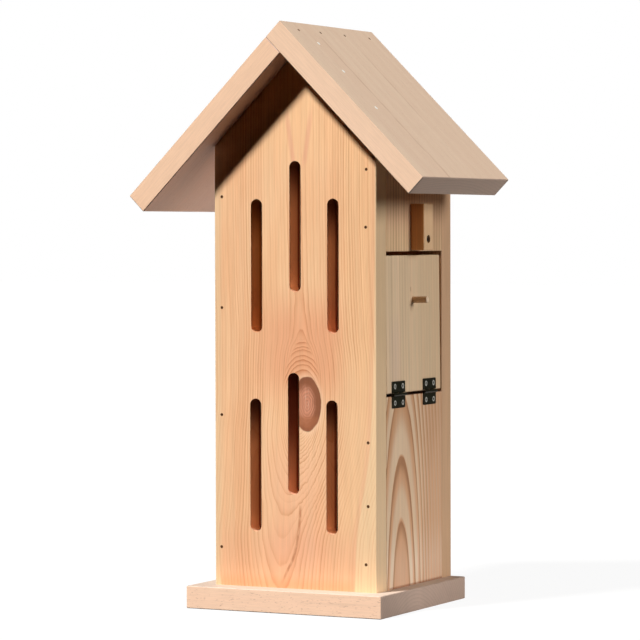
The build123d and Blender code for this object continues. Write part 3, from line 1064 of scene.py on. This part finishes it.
for name in nodes:
    if name.endswith("screws"):
        dress(name, plain_steel(f"zinc_{name}", ZINC, DULL_ZINC, 0.3, 0.5, screws=name))
dress("turn_button_screw", plain_steel("dark_screw_steel", DARK_STEEL, DARKER_STEEL, 0.45))

# %% [markdown]
# ## Nails in the walls
# The front and back boards are nailed to the edges of the side boards. What shows of a nail is its flat
# head, which stands a tenth of a millimetre proud of the wood. It could be a dark spot of paint, but a
# real disc also catches light at its rim. A very short cone with a slightly narrower top gives disc and
# rim in one step, and all the heads of one board are one piece. The back repeats the front's nails.

# %% Nail heads
NAIL_RADIUS = 1.1 / MM
NAIL_RIM = 0.3 / MM
NAIL_STAND = 0.05 / MM
NAILS_ACROSS_AND_UP = [
    (-73.8, 54.1), (-73.3, 172.2), (-72.8, 267.7), (-72.6, 366.3),
    (69.6, 44.4), (71.7, 95.4), (71.8, 151.0), (69.8, 338.9), (70.4, 389.2),
]


def add_piece(name, mesh, material):
    """Turn a finished bmesh into an object with one material."""
    data = bpy.data.meshes.new(name)
    mesh.to_mesh(data)
    mesh.free()
    data.materials.append(material)
    return add_object(name, data)


def nail_heads(name, places, outward, material, radius=NAIL_RADIUS):
    """Round heads at each place, as one piece on the house."""
    mesh = bmesh.new()
    turn = Vector((0, 0, 1)).rotation_difference(outward).to_matrix().to_4x4()
    for place in places:
        seat = Matrix.Translation(Vector(place) + outward * NAIL_STAND) @ turn
        bmesh.ops.create_cone(
            mesh, cap_ends=True, segments=16, radius1=radius + NAIL_RIM, radius2=radius,
            depth=2 * NAIL_STAND, matrix=seat,
        )
    piece = add_piece(name, mesh, material)
    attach(piece, "house")
    print(name, "has", len(places), "heads")


rust = plain_steel("rusty_steel", RUST, DARK_RUST, 0.6, 0.0)
front_nails = [(x / MM, front_low.y, z / MM) for x, z in NAILS_ACROSS_AND_UP]
nail_heads("front_nails", front_nails, Vector((0, -1, 0)), rust)
back_nails = [(-x, BACK_FACE / MM, z) for x, y, z in front_nails]
nail_heads("back_nails", back_nails, Vector((0, 1, 0)), rust)

# %% [markdown]
# ## Nails in the roof
# Four rusty heads stand in a row along the ridge, where the right board is nailed to the edge of the left
# one. Three bright, wider heads on each slope hold the boards to the front board's top edge. Their places
# are measured down the slope from the ridge, and the left slope starts a board's thickness lower.

# %% Nails in the roof
ROOF_NAIL_RADIUS = 1.6 / MM
RIDGE_NAILS = [(10.9, y) for y in (-83.6, -41.4, 7.1, 58.0)]
WALL_NAILS = [(26.6, -67.0), (62.2, -68.5), (108.2, -70.5)]
ridge = front_high.z + ROOF_THICKNESS / (MM * cos(ROOF_SLOPE))


def roof_places(side, along_and_y):
    """Places on the top of one slope, from their distances down it and their Y."""
    down = Vector((side * cos(ROOF_SLOPE), 0, -sin(ROOF_SLOPE)))
    return [Vector((0, y / MM, ridge)) + down * (along / MM) for along, y in along_and_y]


bright = plain_steel("bright_steel", BRIGHT_STEEL, BRIGHT_STEEL, 0.4, 0.1)
right_up = Vector((sin(ROOF_SLOPE), 0, cos(ROOF_SLOPE)))
left_up = Vector((-sin(ROOF_SLOPE), 0, cos(ROOF_SLOPE)))
nail_heads("ridge_nails", roof_places(1, RIDGE_NAILS), right_up, rust)
right_places = roof_places(1, WALL_NAILS)
nail_heads("roof_nails_right", right_places, right_up, bright, ROOF_NAIL_RADIUS)
left_places = roof_places(-1, [(along + ROOF_THICKNESS, y) for along, y in WALL_NAILS])
nail_heads("roof_nails_left", left_places, left_up, bright, ROOF_NAIL_RADIUS)

# %% [markdown]
# ## Light
# The main light comes from the left, high and in front: it draws the shadow of the roof across the top of
# the front board, and a hairline of shadow under its right slope. The two widths of that shadow give the
# lamp's direction. A broad, low light from the right and a little behind reaches the side and the roof's
# right slope. Both are far away, so that the light is even.

# %% Lamps
MAIN_FROM = (-0.283, -0.616, 0.735)
MAIN_BRIGHTNESS = 1.557
MAIN_WIDTH = 7.0
MAIN_COLOUR = (1.0, 0.985, 0.96)
SIDE_FROM = (0.93, 0.22, 0.32)
SIDE_BRIGHTNESS = 0.58
SIDE_WIDTH = 30.0
SIDE_COLOUR = (1.0, 0.985, 0.97)


def sun(name, towards, brightness, width, colour):
    """A distant light that makes a white surface facing it as bright as the given value."""
    data = bpy.data.lights.new(name, "SUN")
    data.energy = brightness * pi
    data.angle = radians(width)
    data.color = colour
    light = add_object(name, data)
    light.rotation_euler = Vector(towards).to_track_quat("Z", "Y").to_euler()
    print(name, "has an energy of", round(data.energy, 2))


sun("main_light", MAIN_FROM, MAIN_BRIGHTNESS, MAIN_WIDTH, MAIN_COLOUR)
sun("side_light", SIDE_FROM, SIDE_BRIGHTNESS, SIDE_WIDTH, SIDE_COLOUR)

# %% [markdown]
# ## Ground
# The ground is white to the camera and keeps a faint shadow. To all other rays it is a sheet that lies
# beside and behind the house: it sends light up under the eaves, more on the left than on the right, as a
# white sheet does, but hardly any from in front, so the shadow on the front board stays deep.

# %% Ground
GROUND_SIZE = 30.0
GROUND_GLOW = 0.93
GROUND_SHADE = 0.08
SHEET_LEFT = 0.9
SHEET_RIGHT = 0.55
SHEET_RIGHT_END = 420.0


def ground_material():
    g = Graph("white_ground")
    x, y, z = g.place()
    camera_ray = Signal(g, g.tree.nodes.new("ShaderNodeLightPath").outputs["Is Camera Ray"])
    sheet = g.step(x, -100.0, 100.0, SHEET_LEFT, SHEET_RIGHT)
    sheet = sheet * g.step(x, SHEET_RIGHT_END, SHEET_RIGHT_END * 0.7)
    sheet = sheet * g.step(y, FRONT_FACE, 0.0)
    g.set("Base Color", g.grey(sheet + camera_ray * (GROUND_SHADE - sheet)))
    g.set("Roughness", 1.0)
    g.set("Specular IOR Level", 0.0)
    g.set("Emission Color", (1.0, 1.0, 1.0))
    g.set("Emission Strength", camera_ray * GROUND_GLOW)
    return g.material


sheet_mesh = bmesh.new()
bmesh.ops.create_grid(sheet_mesh, x_segments=1, y_segments=1, size=GROUND_SIZE / 2)
ground = add_piece("ground", sheet_mesh, ground_material())
print("ground:", GROUND_SIZE, "metres a side")

# %% [markdown]
# ## Surroundings
# The room behind the house is pure white to the camera, and nearly dark to all other rays, so that its
# white adds no light to the wood. Light Path tells the two kinds of ray apart.

# %% Surroundings
ROOM_LIGHT = 0.001


def add_world():
    world = bpy.data.worlds.new("white_room")
    bpy.context.scene.world = world
    world.use_nodes = True
    tree = world.node_tree
    path = tree.nodes.new("ShaderNodeLightPath")
    strength = tree.nodes.new("ShaderNodeMapRange")
    tree.links.new(path.outputs["Is Camera Ray"], strength.inputs["Value"])
    strength.inputs["To Min"].default_value = ROOM_LIGHT
    strength.inputs["To Max"].default_value = 1.0
    background = tree.nodes["Background"]
    background.inputs["Color"].default_value = (1.0, 1.0, 1.0, 1.0)
    tree.links.new(strength.outputs["Result"], background.inputs["Strength"])


add_world()
bpy.context.scene.view_settings.view_transform = "Standard"
print("light of the room on the house:", ROOM_LIGHT)

# %% [markdown]
# ## Size
# The finish must not make the house larger than its solids.
